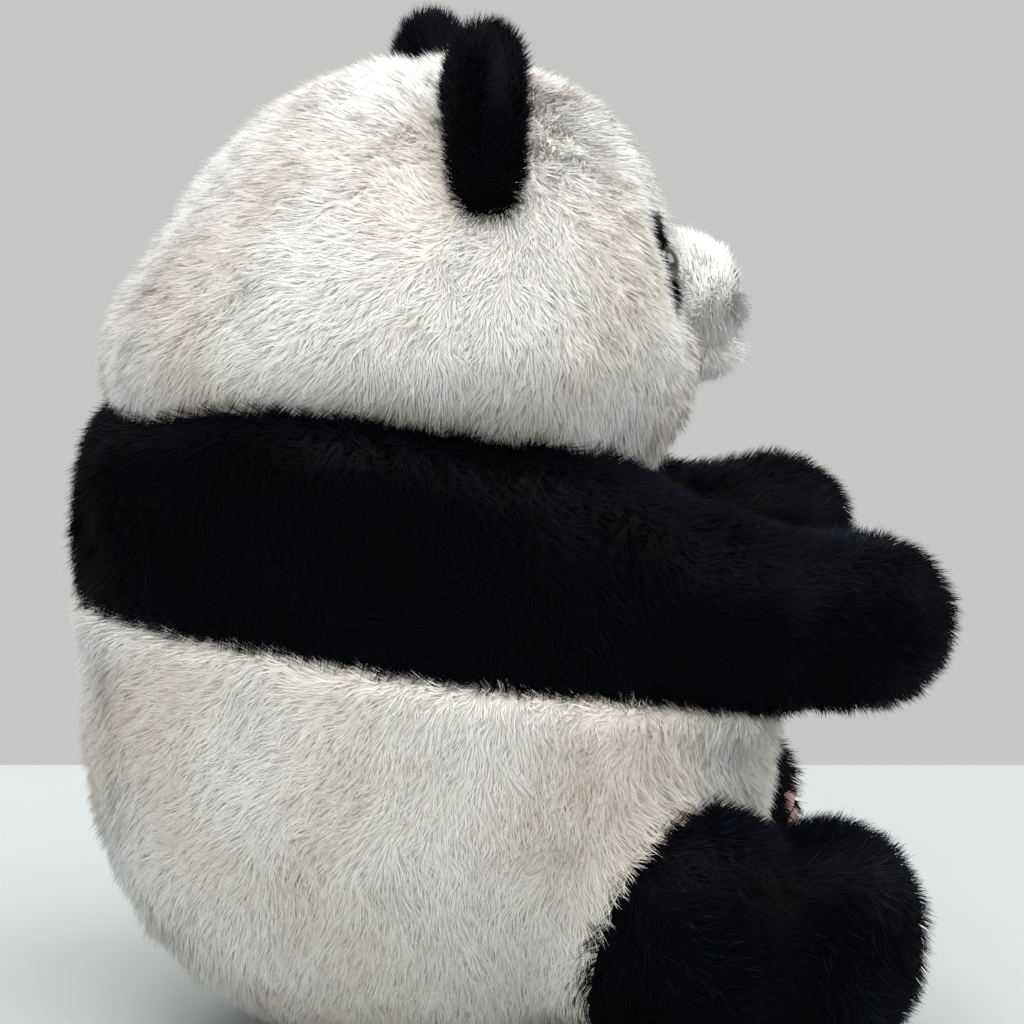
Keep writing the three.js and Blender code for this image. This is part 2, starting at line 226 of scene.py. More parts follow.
def ear_field(side):
    """A thick round ear, hollowed a little in front."""
    name = "left" if side > 0 else "right"
    root = PIVOT[f"ear_{name}_fold"] + np.array([side * 3.5, 0, -3.5]) * MM

    def field(p):
        slid = p - np.array([0, 0.07, 0]) * (root[2] + 12 * MM - p[..., 2:])
        disc = cushion(slid[..., [0, 2, 1]], root[[0, 2, 1]], np.array([34, 33.5, 9.8]) * MM, 3.4)
        hollow = cushion(p, root + np.array([side * 6, -16, 6]) * MM, np.array([21, 9, 21]) * MM)
        return meet(disc, -hollow, 5 * MM)
    return field


def torso_field(p):
    """The whole torso, with stuffing that bulges round the arms' and the legs' roots."""
    form = cushion(p, torso_mid, torso_half - PILE, 2.4, 50 * MM, 0.95)
    for side in (1, -1):
        shoulder, tip, radius = arm_line(side)
        root = capsule(p, shoulder, shoulder + (tip - shoulder) * 0.12, radius - PILE - 1.5 * MM)
        top = np.array([side * 64 * MM, 8 * MM, 184 * MM])
        form = join(form, capsule(p, top, shoulder, 28 * MM, radius - PILE - 2 * MM), 22 * MM)
        form = join(form, root, 26 * MM)
        hip, thigh_half, _, _ = leg_forms(side)
        form = join(form, cushion(p, hip + np.array([0, 6, 0]) * MM, thigh_half - PILE - 8 * MM), 18 * MM)
    return meet(form, plane(p, FLOOR, DOWN), 6 * MM)


def neck_height(p):
    """The neck seam's height: it falls in a soft bend towards the chest and a little towards the back,
    with a small rise at the middle of the back."""
    ahead, behind = 30 * MM - p[..., 1], p[..., 1] - 85 * MM
    rise = 9 * MM * np.exp(-(p[..., 0] / (30 * MM)) ** 2) * np.clip(behind / (30 * MM), 0, 1)
    level = 238.5 * MM - 0.225 * (ahead + np.hypot(ahead, 15 * MM))
    return level - 0.3 * (behind + np.hypot(behind, 15 * MM)) + rise


def waist_height(p):
    """The waist seam's height: level at the back, and falling in a long bend towards the front."""
    ahead = 100 * MM - p[..., 1]
    return 153 * MM - 0.085 * (ahead + np.hypot(ahead, 40 * MM))


def band_field(p):
    """The torso above the waist seam and under the neck seam."""
    top = meet(torso_field(p), waist_height(p) - p[..., 2], 5 * MM)
    return meet(top, 0.95 * (p[..., 2] - neck_height(p)), 8 * MM)


def lower_field(p):
    """The torso below the waist seam, with the belly panel's two side seams."""
    form = meet(torso_field(p), p[..., 2] - waist_height(p), 7 * MM)
    seams = np.abs(np.abs(p[..., 0]) - 75 * MM)
    front = np.clip((BELLY_SEAM_Y - p[..., 1]) / (20 * MM), 0, 1)
    return form + 1.4 * MM * front * np.exp(-(seams / (5 * MM)) ** 2)


# %% [markdown]
# ## From a field to a skin
# Each form is round enough that a ray from its middle leaves it once. So a skin is a grid of rays, by
# two angles, each as long as it takes to reach the place where the field is zero.

# %% Skins
def skin_points(field, middle, rows, columns, pole="z"):
    """Grid of points middle + r d. d turns by u round the pole and by v from it; r is found by halving."""
    v = np.pi * (np.arange(1, rows) / rows)
    u = 2 * np.pi * np.arange(columns) / columns
    v, u = np.meshgrid(v, u, indexing="ij")
    d = np.stack([np.sin(v) * np.cos(u), np.sin(v) * np.sin(u), np.cos(v)], -1).reshape(-1, 3)
    d = np.vstack([[0, 0, 1.0], d, [0, 0, -1.0]])
    order = {"z": [0, 1, 2], "y": [1, 2, 0], "x": [2, 0, 1]}[pole]
    d = d[:, order]
    near, far = np.full(len(d), 1 * MM), np.full(len(d), 320 * MM)
    for _ in range(22):
        r = (near + far) / 2
        inside = field(middle + r[:, None] * d) < 0
        near, far = np.where(inside, r, near), np.where(inside, far, r)
    return middle + near[:, None] * d


def skin_faces(rows, columns):
    """Triangles at the two poles and squares between them, all facing outwards."""
    n = (rows - 1) * columns
    i, j = np.meshgrid(np.arange(rows - 2), np.arange(columns), indexing="ij")
    a, b = 1 + i * columns + j, 1 + i * columns + (j + 1) % columns
    quads = np.stack([a, a + columns, b + columns, b], -1).reshape(-1, 4)
    ring = np.arange(columns)
    nxt = (ring + 1) % columns
    top = np.stack([np.zeros_like(ring), 1 + ring, 1 + nxt], -1)
    last = 1 + (rows - 2) * columns
    bottom = np.stack([np.full_like(ring, n + 1), last + nxt, last + ring], -1)
    return quads, np.vstack([top, bottom])


def triangles_of(quads, tris):
    """Every face as triangles, each square cut along one diagonal."""
    return np.vstack([quads[:, [0, 1, 2]], quads[:, [0, 2, 3]], tris])


def vertex_normals(points, triangles):
    """Sum of the cross products of the triangles at each point, made one long."""
    corner = points[triangles]
    cross = np.cross(corner[:, 1] - corner[:, 0], corner[:, 2] - corner[:, 0])
    total = np.stack([
        np.bincount(triangles.ravel(), np.repeat(cross[:, k], 3), minlength=len(points)) for k in range(3)
    ], -1)
    return total / np.maximum(np.linalg.norm(total, axis=1, keepdims=True), 1e-12)


def mesh_object(name, points, quads, triangles, uv=None):
    """A mesh from whole arrays: points, then four-sided and three-sided faces, then a UV for each corner."""
    mesh = bpy.data.meshes.new(name)
    corners = np.concatenate([quads.ravel(), triangles.ravel()]).astype(np.int32)
    starts = np.concatenate([4 * np.arange(len(quads)), 4 * len(quads) + 3 * np.arange(len(triangles))])
    mesh.vertices.add(len(points))
    mesh.vertices.foreach_set("co", points.astype(np.float32).ravel())
    mesh.loops.add(len(corners))
    mesh.loops.foreach_set("vertex_index", corners)
    mesh.polygons.add(len(quads) + len(triangles))
    mesh.polygons.foreach_set("loop_start", starts.astype(np.int32))
    if uv is not None:
        layer = mesh.uv_layers.new(name="OFBake")
        layer.data.foreach_set("uv", uv.astype(np.float32).ravel())
    mesh.update(calc_edges=True)
    mesh.validate()
    mesh.shade_smooth()
    obj = bpy.data.objects.new(name, mesh)
    bpy.context.scene.collection.objects.link(obj)
    return obj


# %% [markdown]
# ## Finishes
# The plush is a knitted backing with an acrylic pile. Its colour carries painted shade: a strand is painted
# darker at its root, where less light reaches it, and pale at its tip. Every strand carries a place on a
# small
# palette in its UV map: across is its tint and up is how far along the strand a point lies, so one finish
# serves skin and pile.

# %% Colour and nodes
def linear(hex_colour, alpha=1.0):
    """An sRGB hex colour as linear values: c/12.92 when small, otherwise ((c + 0.055)/1.055)^2.4."""
    c = np.array([int(hex_colour[i:i + 2], 16) for i in (0, 2, 4)]) / 255
    return (*np.where(c <= 0.04045, c / 12.92, ((c + 0.055) / 1.055) ** 2.4), alpha)


def node(tree, kind, links=(), **settings):
    """Adds a node. A setting named in_NAME is an input's value; links are (output, input name) pairs."""
    made = tree.nodes.new("ShaderNode" + kind)
    for key, value in settings.items():
        if key.startswith("in_"):
            made.inputs[key[3:].replace("_", " ")].default_value = value
        else:
            setattr(made, key, value)
    for output, name in links:
        tree.links.new(output, made.inputs[name])
    return made


def finish_of(name):
    """A new material's node tree, with only its output left."""
    material = bpy.data.materials.new(name)
    material.use_nodes = True
    material.node_tree.nodes.clear()
    return material, material.node_tree


def ramp(tree, source, stops):
    """A colour ramp with (place, hex) stops."""
    made = node(tree, "ValToRGB", [(source, "Fac")])
    elements = made.color_ramp.elements
    while len(elements) < len(stops):
        elements.new(0.5)
    for element, (place, colour) in zip(elements, stops):
        element.position, element.color = place, linear(colour)
    return made


def plush_finish(name, tints, root_shade_stops, **shader):
    """Acrylic plush: the tint's colour, times a painted shade for the place along the strand, darkest at the
    root.
    """
    material, tree = finish_of(name)
    place = node(tree, "UVMap", uv_map="OFBake")
    split = node(tree, "SeparateXYZ", [(place.outputs["UV"], "Vector")])
    tint = ramp(tree, split.outputs["X"], tints)
    depth = ramp(tree, split.outputs["Y"], root_shade_stops)
    colour = node(tree, "Mix", data_type="RGBA", blend_type="MULTIPLY")
    colour.inputs[0].default_value = 1.0
    tree.links.new(tint.outputs["Color"], colour.inputs[6])
    tree.links.new(depth.outputs["Color"], colour.inputs[7])
    surface = node(tree, "BsdfPrincipled", [(colour.outputs[2], "Base Color")], **shader)
    node(tree, "OutputMaterial", [(surface.outputs["BSDF"], "Surface")])
    return material


# The second list of each finish is painted shade: the colour darkens towards a strand's root and is white at
# its tip.
white_plush = plush_finish(
    "White acrylic plush", [(0, "DDCDBB"), (0.35, "EEE6DB"), (0.65, "F8F5EF"), (1, "FEFEFC")],
    [(0, "EAE8E4"), (0.4, "F7F6F4"), (0.8, "FFFFFF"), (1, "FFFFFF")],
    in_Roughness=0.6, in_IOR=1.46, in_Sheen_Weight=0.25, in_Sheen_Roughness=0.5)
# In the black plush the tint's grey top, 0D121E to 2A3040, is painted sheen: strands that reach it stand in
# for glints on the pile.
black_plush = plush_finish(
    "Black acrylic plush", [(0, "020308"), (0.5, "050812"), (0.75, "0D121E"), (1, "2A3040")],
    [(0, "606060"), (0.5, "B0B0B0"), (1, "FFFFFF")],
    in_Roughness=0.5, in_IOR=1.46, in_Specular_IOR_Level=0.04)
print("plush finishes made")

# %% [markdown]
# ## The pile
# Pile is real geometry, because a coat of strands is what the eye takes plush by. A strand is a slim
# three-sided spike, closed at its root. It lies over in the way the fabric was brushed, and small groups
# lean together into tufts, as pile does once it has been handled.

# %% Noise
def waves(p, seed, length, slope=False):
    """Sum of cosines of k.p + f, with random directions and about the given wavelength; or its slope."""
    rng = np.random.default_rng(seed)
    k = rng.normal(size=(16, 3))
    k *= (2 * np.pi / (length * rng.uniform(0.75, 1.35, 16)) / np.linalg.norm(k, axis=1))[:, None]
    phase = p @ k.T + rng.uniform(0, 2 * np.pi, 16)
    if slope:
        return -np.sin(phase) @ k * (np.sqrt(2 / 16) * length / (2 * np.pi))
    return np.cos(phase).sum(1) * np.sqrt(2 / 16)


def unit(v):
    """Vectors divided by their lengths."""
    return v / np.maximum(np.linalg.norm(v, axis=-1, keepdims=True), 1e-9)


def across(v, n):
    """The part of v that lies in the surface with normal n, made one long."""
    return unit(v - (v * n).sum(1, keepdims=True) * n)


# %% Strands
STRANDS = {"count": 0}


def coat(name, skin, density, flow, tint, keep, seed, length=6.8, lean=54, width=0.42, swirl=0.5,
         clump=0.9, tuft=4.5, speckle=0.05):
    """Pile on a skin, with sizes in mm and degrees. Roots fall evenly by area. A strand's tip is
    root + L (cos(lean) n + sin(lean) f) + clump x slope of a fine noise; f is the flow turned by a
    slow noise. Its three sides meet at the tip."""
    points, triangles, normals = skin
    rng = np.random.default_rng(seed)
    corner = points[triangles]
    area = np.linalg.norm(np.cross(corner[:, 1] - corner[:, 0], corner[:, 2] - corner[:, 0]), axis=1) / 2
    total = area.cumsum()
    count = int(density * total[-1] / MM ** 2)
    pick = np.searchsorted(total, (np.arange(count) + rng.random(count)) / count * total[-1])
    pick = np.minimum(pick, len(triangles) - 1)
    a, b = rng.random((2, count))
    a, b = np.where(a + b > 1, 1 - a, a), np.where(a + b > 1, 1 - b, b)
    share = np.stack([1 - a - b, a, b], -1)[:, :, None]
    root = (corner[pick] * share).sum(1)
    n = unit((normals[triangles[pick]] * share).sum(1))
    kept = keep(root)
    root, n = root[kept], n[kept]
    count = len(root)

    turn = swirl * waves(root, seed + 1, 45 * MM) + 0.3 * waves(root, seed + 5, 9 * MM)
    turn = turn + 0.2 * rng.normal(size=count)
    f = across(flow(root, n), n)
    side = np.cross(n, f)
    f = np.cos(turn)[:, None] * f + np.sin(turn)[:, None] * side
    tilt = np.radians(lean + 6 * waves(root, seed + 2, 18 * MM) + 6 * rng.normal(size=count))
    long = length * MM * np.clip(1 + 0.16 * rng.normal(size=count), 0.5, 1.45)[:, None]
    tuck = across(waves(root, seed + 3, tuft * MM, slope=True), n) * clump * MM
    tuck *= np.clip(np.abs(waves(root, seed + 4, 14 * MM)), 0.2, 1.2)[:, None]
    tip = root + long * (np.cos(tilt)[:, None] * n + np.sin(tilt)[:, None] * f) + tuck

    start = rng.uniform(0, 2 * np.pi, count)
    right = np.cross(n, f)
    thick = width * MM / np.sqrt(3) * rng.uniform(0.75, 1.25, count)
    corners = []
    for third in range(3):
        at = start + third * 2 * np.pi / 3
        spoke = np.cos(at)[:, None] * f + np.sin(at)[:, None] * right
        corners.append(root - 0.4 * MM * n + thick[:, None] * spoke)
    place = np.stack([*corners, tip], 1).reshape(-1, 3)
    first = 4 * np.arange(count)[:, None]
    faces = np.concatenate([first + [0, 2, 1], first + [0, 1, 3], first + [1, 2, 3], first + [2, 0, 3]], 1)
    faces = faces.reshape(-1, 3)

    # Speckle scatters each strand along the tint; black strands that reach the palette's grey top are
    # painted sheen.
    u = np.clip(tint(root) + speckle * rng.normal(size=count), 0.02, 0.98)
    uv = np.empty((count, 12, 2))
    uv[:, :, 0] = u[:, None] + np.array([0, 1, 0.5] * 4) * 0.006
    # V runs from root to tip, so the finish's painted root shade darkens each strand towards its root.
    uv[:, :, 1] = np.array([0.02, 0.03, 0.025] + [0.02, 0.03, 0.98] * 3)
    obj = mesh_object(name, place, np.empty((0, 4), int), faces, uv.reshape(-1, 2))
    bend = np.stack([unit(n + 0.22 * unit(c - root)) for c in corners] + [unit(n + 0.12 * f)], 1)
    obj.data.normals_split_custom_set_from_vertices(bend.reshape(-1, 3).tolist())
    STRANDS["count"] += count
    print(f"{name}: {count} strands")
    return obj


# %% [markdown]
# ## What a joint can uncover
# A strand that lies deep inside a neighbour never shows and is left out. A limb's turn can bring a
# hidden place into view, so each root is tried at the joint's two ends as well as at rest.

# %% Hidden roots
JOINT = {j["name"]: j for j in frame["joints"]}


def turned(p, joint, degrees):
    """p turned about the joint's axis a: p cos t + (a x p) sin t + a (a.p)(1 - cos t), from its pivot."""
    a = unit(np.array(JOINT[joint]["axis"], float))
    t, q = np.radians(degrees), p - PIVOT[joint]
    return PIVOT[joint] + q * np.cos(t) + np.cross(a, q) * np.sin(t) + np.outer(q @ a, a) * (1 - np.cos(t))


def shows(p, neighbour, joint, moves, depth=3.0):
    """Whether p is less than some mm inside the neighbour at rest or at either end of the joint's range.
    moves is 1 where p is on the moving side, and -1 where the neighbour is."""
    low, high = JOINT[joint]["range_deg"]
    out = np.zeros(len(p), bool)
    for degrees in (low, 0, high):
        out |= neighbour(turned(p, joint, moves * degrees)) > -depth * MM
    return out


def all_of(*tests):
    """Whether every test holds at each point."""
    return lambda p: np.logical_and.reduce([t(p) for t in tests])


# %% [markdown]
# ## Skins in place
# Each stuffed part is a closed skin in the backing's colour, with the pile's painted root shade on it. It
# stands for the CAD cover and for what fills it.

# %% Build the skins
SKIN = {}


def stuffed(name, field, middle, rows, columns, pole, body, finish, replaced, shade=0.5):
    """A skin from its field, riding on its body and standing for the CAD nodes."""
    points = skin_points(field, np.asarray(middle, float), rows, columns, pole)
    quads, tris = skin_faces(rows, columns)
    triangles = triangles_of(quads, tris)
    corners = len(quads) * 4 + len(tris) * 3
    # The skin takes the palette just above the root, so its colour carries the pile's painted root shade.
    uv = np.tile([[shade, 0.12], [shade + 0.004, 0.12], [shade, 0.124]], (corners // 3 + 1, 1))[:corners]
    obj = mesh_object(name, points, quads, tris, uv)
    obj.data.materials.append(finish)
    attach(obj, body)
    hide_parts(*replaced)
    SKIN[name] = (points, triangles, vertex_normals(points, triangles))
    print(f"{name}: {len(triangles)} triangles")
    return obj


stuffed("lower_body", lower_field, [0, torso_mid[1], 70 * MM], 90, 180, "z", "torso", white_plush,
        ["lower_body_cover", "belly_panel", "seat_panel", "torso_stuffing", "pellet_bag"])
stuffed("shoulder_band", band_field, [0, torso_mid[1] + 4 * MM, 170 * MM], 80, 200, "z", "torso",
        black_plush, ["shoulder_band_left", "shoulder_band_right"])
stuffed("head", head_field, head_mid, 100, 200, "z", "head", white_plush,
        ["head_back_cover", "face_cover", "head_stuffing", "eye_washer_left", "eye_washer_right"])
stuffed("muzzle", muzzle_field, muzzle_mid, 50, 90, "y", "head", white_plush,
        ["muzzle_cover", "muzzle_stuffing", "chin_pad"], 0.75)
for name, side in SIDES:
    shoulder, tip, radius = arm_line(side)
    stuffed(f"arm_{name}", arm_field(side), (shoulder + tip) / 2, 64, 72, "y", f"arm_{name}", black_plush,
            [f"arm_{name}_cover", f"arm_{name}_stuffing"])
    hip, _, foot, _ = leg_forms(side)
    stuffed(f"leg_{name}", leg_field(side), hip * 0.45 + foot * 0.55, 80, 96, "z", f"leg_{name}",
            black_plush, [f"leg_{name}_cover", f"leg_{name}_stuffing", f"sole_{name}"])
    stuffed(f"ear_{name}", ear_field(side), PIVOT[f"ear_{name}_fold"] + np.array([0, 1.5, 0]) * MM, 40, 72,
            "y", f"ear_{name}", black_plush,
            [f"ear_{name}_cover", f"ear_{name}_wadding"])

# %% [markdown]
# ## How the pile was brushed
# On the head the pile runs down, and straight back over the crown, so that it parts between the ears. On
# the body it runs back at the top and straight down lower, on a limb it runs towards the tip, and on the
# muzzle away from the nose.

# %% Flows
def head_flow(p, n):
    """Down and a little to the back over the cheeks, turning straight to the back over the crown."""
    back = np.clip((p[:, 1] - head_mid[1]) / (40 * MM), 0, 1)
    up = np.clip((p[:, 2] - head_mid[2]) / (50 * MM), 0, 1)
    up = up * np.clip((p[:, 1] - head_mid[1] + 25 * MM) / (40 * MM), 0, 1)
    return np.stack([p[:, 0], 0.15 + 0.4 * back + 0.8 * up, 0.7 * up - 0.85], -1)


def body_flow(p, n):
    """Towards the back under the waist seam at the sides, turning to straight down lower."""
    low = np.clip((146 * MM - p[:, 2]) / (90 * MM), 0, 1)
    behind = np.clip((p[:, 1] - torso_mid[1]) / (60 * MM), -1, 1)
    wide = np.clip(np.abs(p[:, 0]) / (60 * MM), 0, 1)
    return np.stack([0 * low, (1.1 * (1 - low) + 0.3 * behind) * wide, -0.5 - low], -1)


def band_flow(p, n):
    """Down the band, and forwards over the shoulders to the arms."""
    ahead = np.clip((torso_mid[1] - p[:, 1]) / (80 * MM), 0, 1)
    return np.stack([0 * ahead, 0.35 - 1.3 * ahead, -0.75 + 0.3 * ahead], -1)


def limb_flow(start, end, down):
    """Along a limb from its root to its tip, and down."""
    axis = unit(end - start)
    return lambda p, n: axis + np.array([0, 0, -down])


def muzzle_flow(p, n):
    """Away from the middle of the muzzle's front."""
    return p - (muzzle_mid + np.array([0, -40, 10]) * MM)


def ear_flow(side):
    """Up and outwards over the ear's rim, from its root."""
    root = PIVOT["ear_left_fold" if side > 0 else "ear_right_fold"]
    return lambda p, n: p - (root + np.array([-side * 10, 0, -40]) * MM)


# %% Tints
def white_tint(seed, base, swing):
    """A slow change between cream and white, with a faint quick one on top."""
    def tint(p):
        slow = np.tanh(1.2 * waves(p, seed, 70 * MM))
        return base + swing * slow + 0.06 * waves(p, seed + 1, 12 * MM)
    return tint


def black_tint(seed):
    """Mostly deep black, with greyer strands in patches."""
    return lambda p: 0.4 + 0.1 * waves(p, seed, 40 * MM)


# %% [markdown]
# ## Eyes, nose and pads
# The eyes are domed safety buttons, pushed through the face and held by washers inside it. The nose is a
# moulded one of the same glossy black plastic, set deep in the muzzle's pile. The pads are felt,
# stitched on the soles, and the pile stands a little higher around them.

# %% Plastic and felt
plastic, plastic_tree = finish_of("Moulded black polystyrene")
grit = node(plastic_tree, "TexNoise", [(node(plastic_tree, "TexCoord").outputs["Object"], "Vector")],
            in_Scale=900.0, in_Detail=3.0)
sheen = node(plastic_tree, "MapRange", [(grit.outputs["Fac"], "Value")], in_To_Min=0.1, in_To_Max=0.2)
plastic_surface = node(plastic_tree, "BsdfPrincipled", [(sheen.outputs["Result"], "Roughness")],
                       in_Base_Color=linear("08080B"), in_IOR=1.59, in_Coat_Weight=0.4,
                       in_Coat_Roughness=0.05)
node(plastic_tree, "OutputMaterial", [(plastic_surface.outputs["BSDF"], "Surface")])

felt, felt_tree = finish_of("Pressed wool felt")
felt_place = node(felt_tree, "TexCoord").outputs["Object"]
fibres = node(felt_tree, "TexNoise", [(felt_place, "Vector")],
              in_Scale=1400.0, in_Detail=4.0, in_Distortion=1.2)
felt_tint = ramp(felt_tree, fibres.outputs["Fac"], [(0.3, "8E6A68"), (0.5, "A97F7C"), (0.7, "BE9893")])
felt_bump = node(felt_tree, "Bump", [(fibres.outputs["Fac"], "Height")], in_Strength=0.5, in_Distance=0.0006)
felt_surface = node(felt_tree, "BsdfPrincipled",
                    [(felt_tint.outputs["Color"], "Base Color"), (felt_bump.outputs["Normal"], "Normal")],
                    in_Roughness=0.9, in_Sheen_Weight=0.3)
node(felt_tree, "OutputMaterial", [(felt_surface.outputs["BSDF"], "Surface")])


# %% Small pieces
def on_skin(field, middle, towards):
    """The point where the ray from a middle towards a point leaves a field, and the way out there."""
    d = unit(np.asarray(towards) - middle)
    near, far = 0.0, 0.3
    for _ in range(30):
        r = (near + far) / 2
        near, far = (r, far) if field(middle + r * d) < 0 else (near, r)
    at = middle + near * d
    step = np.eye(3) * 0.5 * MM
    return at, unit(np.array([field(at + e) - field(at - e) for e in step]))


def small_piece(name, field, middle, rows, columns, body, finish, slot, *replaced, pole="y"):
    """A closed piece from its field, riding on its body and standing for its CAD node."""
    quads, tris = skin_faces(rows, columns)
    obj = mesh_object(name, skin_points(field, middle, rows, columns, pole), quads, tris)
    obj.data.materials.append(finish)
    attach(obj, body)
    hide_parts(*replaced)
    return obj


def facing(p, middle, out):
    """p in a frame at a middle: right, out and up, where out is level or nearly so."""
    right = unit(np.cross(out, [0, 0, 1.0]))
    return np.stack([(p - middle) @ right, (p - middle) @ out, (p - middle) @ np.cross(right, out)], -1)


ZERO = np.zeros(3)
for name, side in SIDES:
    at, out = on_skin(head_field, head_mid, head_mid + np.array([side * 36, -86, 22]) * MM)
    small_piece(f"eye_button_{name}",
                lambda p: cushion(facing(p, at + out * 1.5 * MM, out), ZERO, np.array([6, 4.5, 6]) * MM),
                at + out * 1.5 * MM, 24, 40, "head", plastic, "black_plastic", f"eye_{name}")


def nose_field(p):
    """A soft triangle, broad at the top, with two shallow nostrils."""
    q = (p - nose_mid) / MM
    x = q[..., 0] / (1 + 0.035 * q[..., 2])
    form = cushion(np.stack([x, q[..., 1], q[..., 2]], -1), ZERO, np.array([9.5, 5, 6.5]), 2.4)
    dents = sum(np.exp(-((q - [side * 3.6, -4.2, -1.5]) ** 2).sum(-1) / 2.6) for _, side in SIDES)
    return (form + 1.1 * dents) * MM


nose_mid = muzzle_mid + np.array([0, -muzzle_half[1] + 8.5 * MM, 6.5 * MM])
small_piece("nose_button", nose_field, nose_mid, 40, 64, "head", plastic, "black_plastic", "nose")

PADS = {}
for name, side in SIDES:
    _, _, foot, _ = leg_forms(side)
    turn_in = np.radians(14) * side
    forward = np.array([-np.sin(turn_in), -np.cos(turn_in), 0])
    sideways = np.array([np.cos(turn_in), -np.sin(turn_in), 0])
    spots = [(f"sole_pad_{name}", 0, -8, 14, 11)]
    for toe in range(3):
        angle = np.radians((toe - 1) * 34)
        spots.append((f"toe_pad_{name}_{toe + 1}", 19 * np.sin(angle), 19 * np.cos(angle) - 8, 5, 5))
    PADS[name] = []
    for node_name, across_it, up, wide, tall in spots:
        aim = foot + (sideways * across_it + np.array([0, 0, up]) + forward * 34) * MM
        at, out = on_skin(leg_field(side), foot, aim)
        half = np.array([wide, 4.2, tall]) * MM
        middle = at - out * 2.6 * MM
        PADS[name].append((middle, out, half))
        small_piece(node_name + "_felt", lambda p: cushion(facing(p, middle, out), ZERO, half, 2.2), middle,
                    20, 36, f"leg_{name}", felt, "pad_felt", node_name)


def off_pads(name):
    """Roots outside the pads' ovals."""
    def test(p):
        clear = np.ones(len(p), bool)
        for middle, out, half in PADS[name]:
            q = facing(p, middle, out)
            clear &= (np.hypot(q[:, 0] / half[0], q[:, 2] / half[2]) > 1.02) | (np.abs(q[:, 1]) > 15 * MM)
        return clear
    return test


# %% The coats
FINE = dict(width=0.4, clump=0.5, swirl=0.22)      # the head's pile is the finest and smoothest
SOFT = dict(width=0.45, clump=0.7, swirl=0.35)


def brushed(name, skin, body, finish, slot, *args, **sizes):
    """A coat with its finish, riding with its skin."""
    obj = coat(name, SKIN[skin], *args, **sizes)
    obj.data.materials.append(finish)
    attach(obj, body)
    return obj


def part(test, low, high):
    """Points whose test value lies between two limits."""
    return lambda p: (test(p) >= low) & (test(p) < high)


def behind(line):
    """Points behind an upright plane across the toy."""
    return lambda p: p[:, 1] >= line


def ahead_of(line):
    """Points in front of an upright plane across the toy."""
    return lambda p: p[:, 1] < line


def over_head(p):
    """Head roots that show: not in the seat, under the muzzle or under an ear."""
    out = shows(p, torso_field, "neck_nod", 1) & (muzzle_field(p) > -3 * MM)
    for name, side in SIDES:
        out &= shows(p, ear_field(side), f"ear_{name}_fold", -1, 2.5)
    return out


def on_patch(p):
    """Inside one of the two tilted ovals round the eyes, seen from the front: below 1 is inside."""
    t = np.radians(20)
    x, z = np.abs(p[:, 0]) - 37 * MM, p[:, 2] - head_mid[2] - 21 * MM
    across_it, along_it = x * np.cos(t) + z * np.sin(t), -x * np.sin(t) + z * np.cos(t)
    oval = np.hypot(across_it / (13 * MM), along_it / (19 * MM))
    return np.where(p[:, 1] < head_mid[1], oval, 9)


def over_torso(p):
    """Torso roots that show beside the head, the arms and the legs."""
    out = shows(p, head_field, "neck_nod", -1)
    for name, side in SIDES:
        out &= shows(p, arm_field(side), f"arm_{name}_raise", -1)
        out &= shows(p, leg_field(side), f"leg_{name}_raise", -1, -1.0)
    return out


def off_seat(p):
    """Roots above the flat seat, which lies on the floor."""
    return p[:, 2] > 3 * MM


def in_torso(joint):
    """Roots of a limb that show outside the torso."""
    return lambda p: shows(p, torso_field, joint, 1)


head_tint, body_tint = white_tint(11, 0.72, 0.3), white_tint(29, 0.6, 0.32)
face_line, body_line = head_mid[1] + 4 * MM, torso_mid[1] + 10 * MM
for name, low, high in (("left", 0, 1), ("right", -1, 0)):
    half = part(lambda p: p[:, 0], low, high)
    head = ("head", "head", white_plush, "white_plush", 1.45, head_flow, head_tint)
    brushed(f"head_back_pile_{name}", *head,
            all_of(half, behind(face_line), over_head), 100 + high, **FINE)
    brushed(f"face_pile_{name}", *head,
            all_of(half, ahead_of(face_line), over_head, lambda p: on_patch(p) > 1), 110 + high, **FINE)
    body = ("lower_body", "torso", white_plush, "white_plush", 1.0, body_flow, body_tint)
    brushed(f"lower_body_pile_{name}_back", *body,
            all_of(half, behind(body_line), over_torso, off_seat), 120 + high, **SOFT)
    brushed(f"lower_body_pile_{name}_front", *body,
            all_of(half, ahead_of(body_line), over_torso, off_seat), 125 + high, **SOFT)
    band = ("shoulder_band", "torso", black_plush, "black_plush", 0.78, band_flow, black_tint(41))
    brushed(f"shoulder_band_pile_{name}_back", *band,
            all_of(half, behind(body_line), over_torso), 130 + high, width=0.5)
    brushed(f"shoulder_band_pile_{name}_front", *band,
            all_of(half, ahead_of(body_line), over_torso), 135 + high, width=0.5)
patches = brushed("eye_patch_pile", "head", "head", black_plush, "black_plush", 4.0, head_flow,
                  black_tint(43), lambda p: on_patch(p) < 1, 140, length=5.8, lean=56, width=0.75)
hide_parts("eye_patch_left", "eye_patch_right")
brushed("muzzle_pile", "muzzle", "head", white_plush, "white_plush", 2.9, muzzle_flow,
        white_tint(51, 0.9, 0.08), lambda p: (head_field(p) > -3 * MM) & (nose_field(p) > 1 * MM), 150,
        length=6.5, lean=44, width=0.4, clump=0.5)
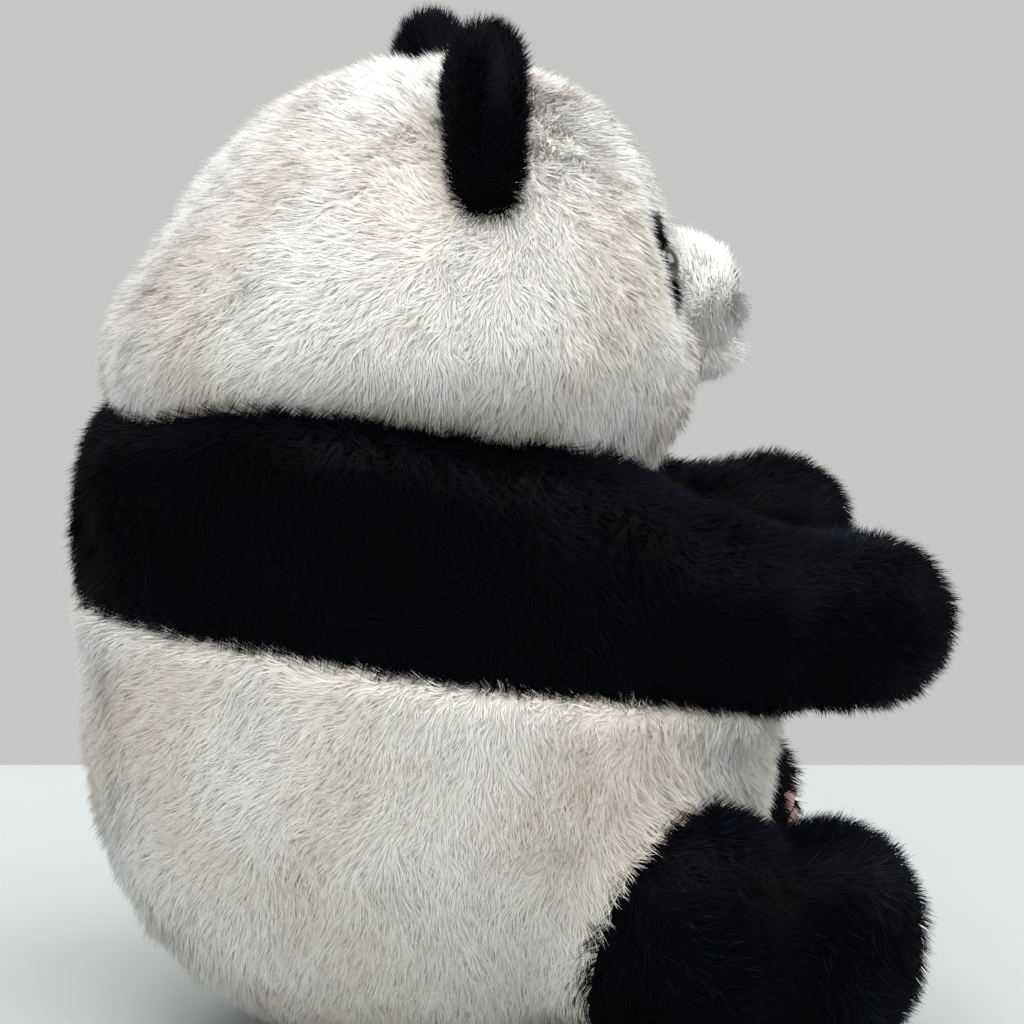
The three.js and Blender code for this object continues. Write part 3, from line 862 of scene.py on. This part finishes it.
for name, side in SIDES:
    shoulder, tip, _ = arm_line(side)
    hip, _, foot, _ = leg_forms(side)
    arm, leg, ear = f"arm_{name}", f"leg_{name}", f"ear_{name}"
    # The arms' and legs' wide speckle sends some strands to the black palette's grey top: painted sheen.
    brushed(f"{arm}_pile", arm, arm, black_plush, "black_plush", 1.1, limb_flow(shoulder, tip, 0.55),
            black_tint(61), in_torso(f"{arm}_raise"), 160 + side, speckle=0.2)
    brushed(f"{leg}_pile", leg, leg, black_plush, "black_plush", 0.95, limb_flow(hip, foot, 0.7),
            black_tint(71), all_of(in_torso(f"{leg}_raise"), off_pads(name)), 170 + side, speckle=0.2)
    brushed(f"{ear}_pile", ear, ear, black_plush, "black_plush", 1.4, ear_flow(side), black_tint(81),
            lambda p: shows(p, head_field, f"{ear}_fold", 1), 180 + side, length=6.5, lean=50)
print("strands in all:", STRANDS["count"])

# %% [markdown]
# ## Stage and light
# A pale table whose far edge shows behind the toy, a plain light surround, one big soft lamp above the
# toy, and three weaker ones behind it, before its face and on its far side that keep the shadows soft.

# %% Stage
def panel(name, corners, material):
    """A flat four-sided sheet that isn't part of the object."""
    mesh = bpy.data.meshes.new(name)
    mesh.from_pydata([tuple(c) for c in corners], [], [(0, 1, 2, 3)])
    mesh.materials.append(material)
    obj = bpy.data.objects.new(name, mesh)
    bpy.context.scene.collection.objects.link(obj)
    return obj


floor_finish, floor_tree = finish_of("Pale table top")
floor_surface = node(floor_tree, "BsdfPrincipled", in_Base_Color=linear("B0B6B6"), in_Roughness=0.55)
node(floor_tree, "OutputMaterial", [(floor_surface.outputs["BSDF"], "Surface")])
ahead = -np.array([away[0], away[1], 0]) / np.hypot(away[0], away[1])
right = np.array([ahead[1], -ahead[0], 0])
far_edge, near_edge, wide = ahead * 0.427, ahead * -3, right * 3
panel("floor", [far_edge - wide, near_edge - wide, near_edge + wide, far_edge + wide], floor_finish)

world = bpy.data.worlds.new("Surround")
bpy.context.scene.world = world
world.use_nodes = True
world_tree = world.node_tree
world_tree.nodes.clear()
sky = node(world_tree, "Background", in_Color=linear("C6C7C5"), in_Strength=1.0)
node(world_tree, "OutputWorld", [(sky.outputs["Background"], "Surface")])


def lamp(name, place, aim, size, power):
    """A square soft lamp that faces a point."""
    data = bpy.data.lights.new(name, "AREA")
    data.size, data.energy = size, power
    obj = bpy.data.objects.new(name, data)
    bpy.context.scene.collection.objects.link(obj)
    obj.location = place
    obj.rotation_mode = "QUATERNION"
    obj.rotation_quaternion = (Vector(aim) - Vector(place)).to_track_quat("-Z", "Y")


lamp("key", (-0.85, 0.0, 2.15), (0, 0, 0.15), 2.0, 57)
lamp("back fill", (-1.5, 1.5, 1.2), (0, 0, 0.15), 1.6, 14)
lamp("face fill", (-0.5, -2.0, 1.4), (0, 0, 0.18), 1.6, 32)
lamp("far fill", (1.6, 0.4, 1.6), (0, 0, 0.15), 1.5, 14)
print("stage and lamps set")
